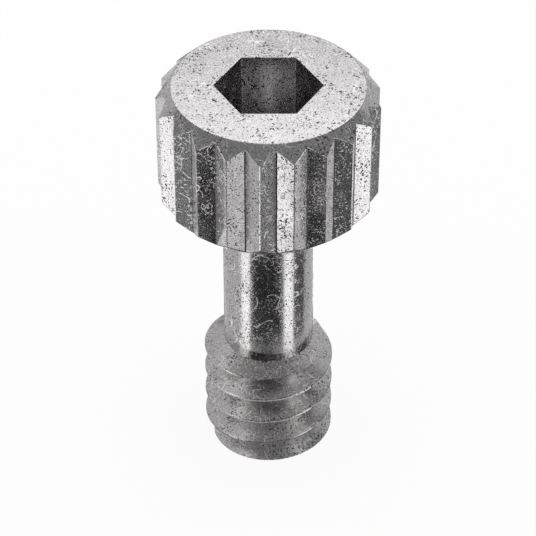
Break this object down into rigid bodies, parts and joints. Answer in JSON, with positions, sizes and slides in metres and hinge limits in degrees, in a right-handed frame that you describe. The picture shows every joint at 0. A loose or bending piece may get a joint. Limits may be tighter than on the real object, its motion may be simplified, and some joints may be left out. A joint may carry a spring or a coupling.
{
  "type": "captive panel screw",
  "caption": "Captive panel screw: straight-knurled cylinder head with a hexagon socket, a relieved plain shank and a short coarse thread at its end.",
  "frame": {"origin": "centre of the flat threaded end face, which the screw stands on", "axes": "+Z along the screw's axis, from the threaded end to the head; two corners of the hexagon socket lie over the X axis, and one knurl tip points along -X"},
  "size_m": [0.0058, 0.0058, 0.0116],
  "materials": {
    "stainless_steel": "as turned, fine speckled handling wear"
  },
  "bodies": {
    "root": {"captive_screw": "stainless_steel"}
  },
  "joints": []
}
